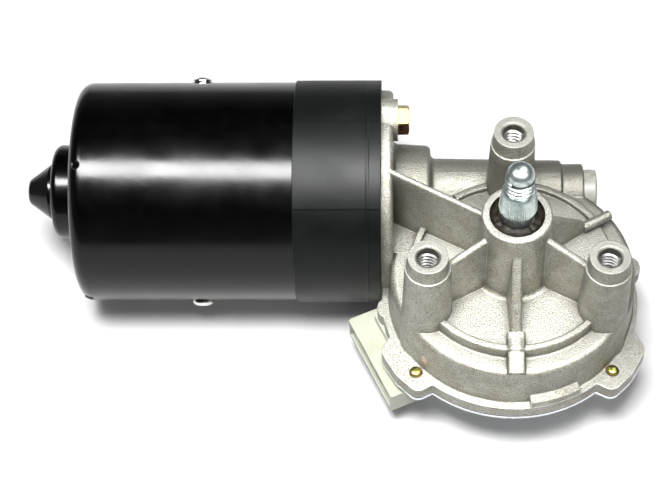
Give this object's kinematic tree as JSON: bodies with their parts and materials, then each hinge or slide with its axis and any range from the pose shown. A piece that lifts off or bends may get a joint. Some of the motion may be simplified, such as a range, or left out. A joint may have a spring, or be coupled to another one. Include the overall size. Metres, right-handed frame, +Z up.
{
  "type": "wiper motor",
  "caption": "Wiper motor: steel can motor with a worm gearbox in a ribbed cast housing, an upright splined and threaded output shaft, and three threaded mounting bosses.",
  "frame": {"origin": "centre of the circle of the three mounting bosses, in the plane of their tops, on the output shaft's axis", "axes": "+Z up along the output shaft, out of the bosses; +X along the armature, from the can to the thrust plug; +Y from the output shaft towards the armature"},
  "size_m": [0.2367, 0.1336, 0.1131],
  "materials": {
    "cast_alloy": "as cast, fine grained",
    "black_enamel": "gloss",
    "black_sleeve": "satin",
    "black_cap": "gloss",
    "yellow_zinc": "yellow passivated zinc",
    "rivet_steel": "bright",
    "bright_steel": "bright zinc",
    "shaft_steel": "bluish zinc",
    "ground_steel": "ground",
    "bush_bronze": "sintered, oiled",
    "contact_brass": "rolled",
    "copper": "enamelled wire",
    "core_iron": "stacked sheets",
    "ferrite": "fired",
    "carbon": "matt",
    "gear_nylon": "natural",
    "connector_nylon": "natural, slightly clear",
    "dark_board": "laminate",
    "gasket_rubber": "matt",
    "felt": "oiled felt"
  },
  "bodies": {
    "housing": {"gear_housing": "cast_alloy", "cover_gasket": "gasket_rubber", "cover_plate": "bright_steel", "cover_screws": "yellow_zinc", "output_bush_upper": "bush_bronze", "output_bush_lower": "bush_bronze", "bearing_outer_ring": "ground_steel", "worm_end_bush": "bush_bronze", "thrust_pad": "gear_nylon", "thrust_plug": "bright_steel", "yoke_can": "black_enamel", "joint_sleeve": "black_sleeve", "end_cap": "black_cap", "rear_bush": "bush_bronze", "bush_clip": "ground_steel", "oil_felt": "felt", "magnets": "ferrite", "magnet_rivets": "rivet_steel", "long_bolts": "yellow_zinc", "bolt_anchors": "ground_steel", "brush_plate": "dark_board", "brush_holders": "contact_brass", "brushes": "carbon", "brush_springs": "ground_steel", "connector_housing": "connector_nylon", "connector_blades": "contact_brass", "contact_carrier": "dark_board", "contact_fingers": "contact_brass"},
    "armature": {"armature_shaft": "ground_steel", "armature_core": "core_iron", "windings": "copper", "commutator": "copper", "bearing_inner_ring": "ground_steel"},
    "ball_set": {"bearing_balls": "rivet_steel", "bearing_cage": "contact_brass"},
    "output": {"output_shaft": "shaft_steel", "worm_wheel": "gear_nylon", "park_disc": "contact_brass", "retaining_ring": "ground_steel", "shaft_washer": "ground_steel", "thrust_washer": "ground_steel"}
  },
  "joints": [
    {"name": "armature_spin", "type": "hinge", "parent": "housing", "child": "armature", "pos_m": [0, 0.04163, -0.043], "axis": [1, 0, 0], "continuous": true},
    {"name": "output_spin", "type": "hinge", "parent": "housing", "child": "output", "pos_m": [0, 0, 0], "axis": [0, 0, 1], "continuous": true},
    {"name": "ball_set_spin", "type": "hinge", "parent": "housing", "child": "ball_set", "pos_m": [0, 0.04163, -0.043], "axis": [1, 0, 0], "continuous": true}
  ],
  "couplings": [
    {"joint": "output_spin", "follows": "armature_spin", "ratio": 0.017544},
    {"joint": "ball_set_spin", "follows": "armature_spin", "ratio": 0.37778}
  ]
}
